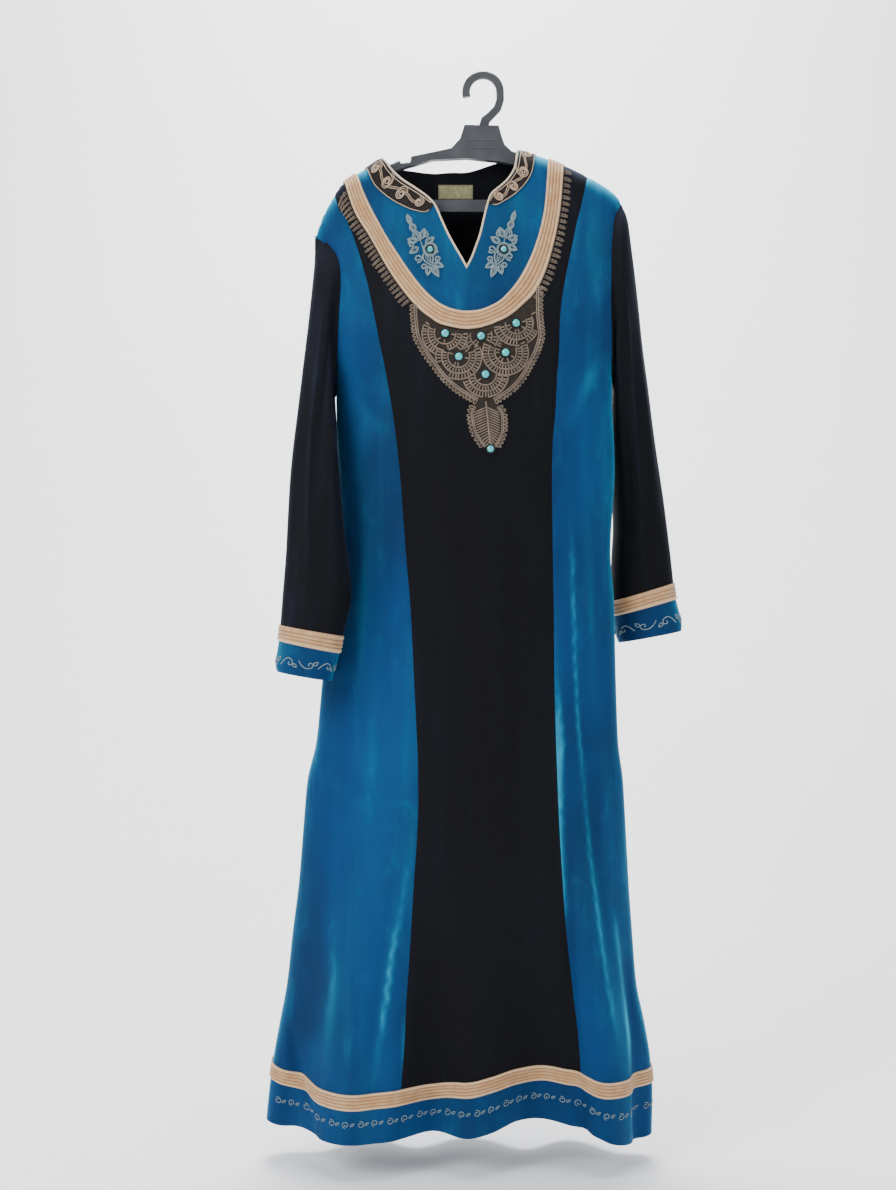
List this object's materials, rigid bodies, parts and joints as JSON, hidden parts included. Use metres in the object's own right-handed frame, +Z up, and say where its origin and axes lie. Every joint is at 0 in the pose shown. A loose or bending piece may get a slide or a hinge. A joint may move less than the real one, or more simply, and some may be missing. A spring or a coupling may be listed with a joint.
{
  "type": "kaftan on a clothes hanger",
  "caption": "Long-sleeved velvet kaftan with a braided yoke, pendant applique and banded hem, hanging open and hollow on a moulded clothes hanger with a hook for a rail.",
  "frame": {"origin": "inner top of the hanger's hook, where a rail carries it", "axes": "+X to the right seen from the front, +Y to the back, +Z up"},
  "size_m": [0.6006, 0.22, 1.5169],
  "materials": {
    "blue_velvet": "matte",
    "black_velvet": "matte",
    "peach_cord": "satin",
    "cream_piping": "satin",
    "brown_braid": "matte",
    "silver_thread": "satin",
    "collar_cloth": "matte",
    "turquoise": "gloss",
    "label_cloth": "matte",
    "black_plastic": "satin"
  },
  "bodies": {
    "root": {"front_side_left": "blue_velvet", "front_side_right": "blue_velvet", "back_side_left": "blue_velvet", "back_side_right": "blue_velvet", "yoke": "blue_velvet", "hem_band_front": "blue_velvet", "hem_band_back": "blue_velvet", "cuff_left": "blue_velvet", "cuff_right": "blue_velvet", "front_centre": "black_velvet", "back_centre": "black_velvet", "sleeve_left": "black_velvet", "sleeve_right": "black_velvet", "yoke_braid": "peach_cord", "hem_braid_front": "peach_cord", "hem_braid_back": "peach_cord", "cuff_braid_left": "peach_cord", "cuff_braid_right": "peach_cord", "neck_piping": "cream_piping", "collar_band_left": "collar_cloth", "collar_band_right": "collar_cloth", "tick_trim_left": "brown_braid", "tick_trim_right": "brown_braid", "pendant_applique": "brown_braid", "yoke_motif_left": "silver_thread", "yoke_motif_right": "silver_thread", "bead_1": "turquoise", "bead_2": "turquoise", "bead_3": "turquoise", "bead_4": "turquoise", "bead_5": "turquoise", "bead_6": "turquoise", "bead_7": "turquoise", "bead_8": "turquoise", "bead_9": "turquoise", "neck_label": "label_cloth", "hanger": "black_plastic"}
  },
  "joints": []
}
